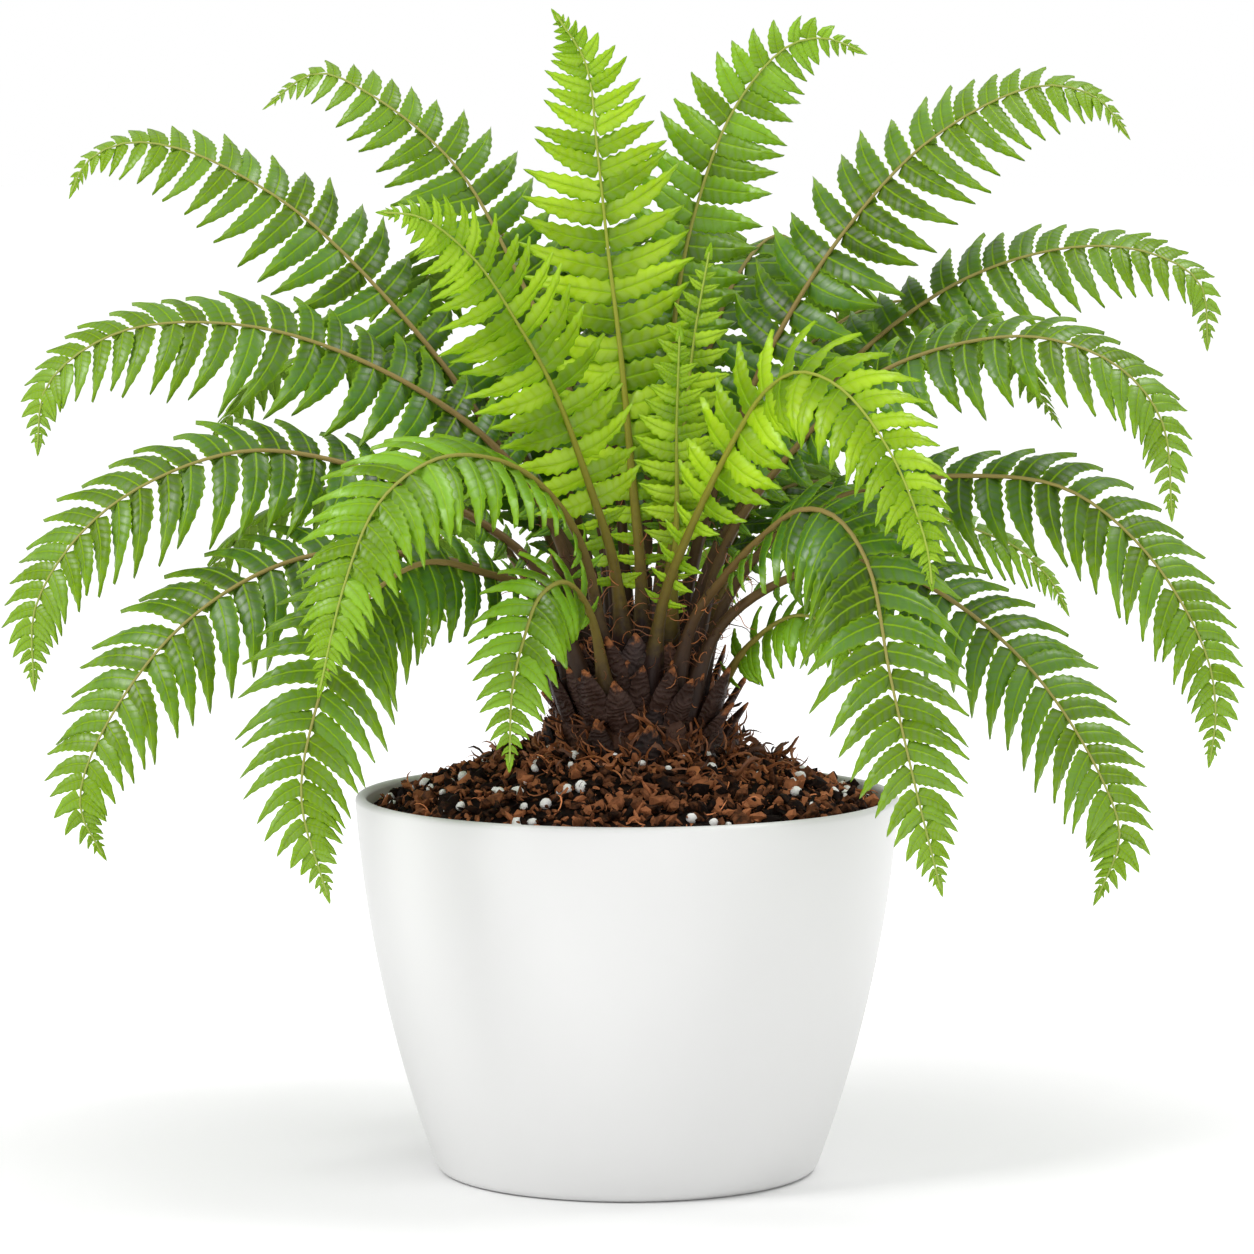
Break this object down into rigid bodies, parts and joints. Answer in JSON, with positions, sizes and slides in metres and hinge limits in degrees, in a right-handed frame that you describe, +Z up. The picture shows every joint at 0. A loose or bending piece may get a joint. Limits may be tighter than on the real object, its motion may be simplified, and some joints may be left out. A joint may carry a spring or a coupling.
{
  "type": "potted silver lady fern",
  "caption": "Small trunked fern in a tapered white pot: arching feathery fronds rise from a scaly crown above a mounded potting mix.",
  "frame": {"origin": "centre of the pot's flat underside, on the surface that it stands on", "axes": "+Z up out of the pot, -Y towards the side that the picture shows, +X to that viewer's right"},
  "size_m": [0.4416, 0.3565, 0.4257],
  "materials": {
    "pot": "satin",
    "potting_mix": "matte",
    "trunk": "matte",
    "mature_frond": "satin",
    "fresh_frond": "satin",
    "new_frond": "satin"
  },
  "bodies": {
    "root": {"pot": "pot", "potting_mix": "potting_mix", "trunk": "trunk", "frond_crown_center": "new_frond", "frond_top_right": "fresh_frond", "frond_top_left": "mature_frond", "frond_right_top": "mature_frond", "frond_left_upper": "mature_frond", "frond_left_high": "mature_frond", "frond_left_mid": "mature_frond", "frond_left_low": "mature_frond", "frond_left_front": "mature_frond", "frond_front_left": "fresh_frond", "frond_front_left_small": "fresh_frond", "frond_lime_left": "new_frond", "frond_lime_right": "new_frond", "frond_right_upper": "mature_frond", "frond_right_mid": "mature_frond", "frond_right_lower": "mature_frond", "frond_right_low": "mature_frond", "frond_front_right": "mature_frond", "frond_right_back": "fresh_frond", "frond_right_small": "fresh_frond", "frond_young_tall": "new_frond", "frond_young_short": "new_frond", "frond_back_upper_1": "mature_frond", "frond_back_upper_2": "mature_frond", "frond_back_upper_3": "mature_frond", "frond_back_upper_4": "mature_frond", "frond_back_upper_5": "mature_frond", "frond_back_upper_6": "mature_frond", "frond_back_lower_1": "mature_frond", "frond_back_lower_2": "mature_frond", "frond_back_lower_3": "mature_frond", "frond_back_lower_4": "mature_frond", "frond_back_lower_5": "mature_frond", "frond_back_lower_6": "mature_frond", "frond_back_lower_7": "mature_frond"}
  },
  "joints": []
}
